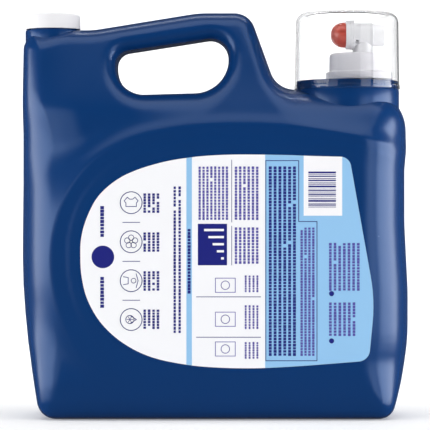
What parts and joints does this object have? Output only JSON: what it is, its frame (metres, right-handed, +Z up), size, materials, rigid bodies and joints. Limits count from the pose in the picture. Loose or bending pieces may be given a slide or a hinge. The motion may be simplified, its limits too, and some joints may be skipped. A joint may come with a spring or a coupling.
{
  "type": "laundry detergent bottle",
  "caption": "Large upright jug with a through handle, a screw vent cap, a press-button tap on its shoulder and a clear measuring cup over the tap.",
  "frame": {"origin": "on the floor under the middle of the body", "axes": "+Z up, +X towards the tap side, -Y towards the printed back label"},
  "size_m": [0.2794, 0.1052, 0.2924],
  "materials": {
    "jug_blue": "semi-gloss blown polyethylene",
    "label_stock": "satin printed film",
    "cap_white": "satin moulded polypropylene",
    "liner_foam": "matte foam",
    "tap_grey": "satin moulded polypropylene",
    "tap_white": "satin moulded polyethylene",
    "seal_rubber": "matte moulded seal",
    "button_red": "satin moulded plastic",
    "spring_steel": "drawn wire",
    "cup_clear": "clear gloss polypropylene"
  },
  "bodies": {
    "jug": {"bottle": "jug_blue", "back_label": "label_stock", "front_label": "label_stock", "tap_closure": "tap_grey", "tap_gasket": "seal_rubber", "tap_housing": "tap_white", "button_ring": "tap_white", "stem_o_ring": "seal_rubber", "return_spring": "spring_steel"},
    "vent_liner": {"vent_cap_liner": "liner_foam"},
    "vent_cap": {"vent_cap": "cap_white"},
    "button": {"tap_button": "button_red", "valve_stem": "tap_white", "valve_plug": "seal_rubber"},
    "cup": {"measuring_cup": "cup_clear"}
  },
  "joints": [
    {"name": "vent_cap_rise", "type": "slide", "parent": "jug", "child": "vent_liner", "axis": [0, 0, 1], "range_m": [0, 0.0064]},
    {"name": "vent_cap_turn", "type": "hinge", "parent": "vent_liner", "child": "vent_cap", "pos_m": [-0.1183, 0, 0.285], "axis": [0, 0, 1], "range_deg": [0, 540]},
    {"name": "button_press", "type": "slide", "parent": "jug", "child": "button", "axis": [1, 0, 0], "range_m": [0, 0.0034], "stiffness_N_per_m": 900, "springref_m": -0.004, "deforming": ["return_spring"]},
    {"name": "cup_lift", "type": "slide", "parent": "jug", "child": "cup", "axis": [0, 0, 1], "range_m": [0, 0.07]}
  ],
  "couplings": [
    {"joint": "vent_cap_rise", "follows": "vent_cap_turn", "m_per_rad": 0.00067323}
  ]
}
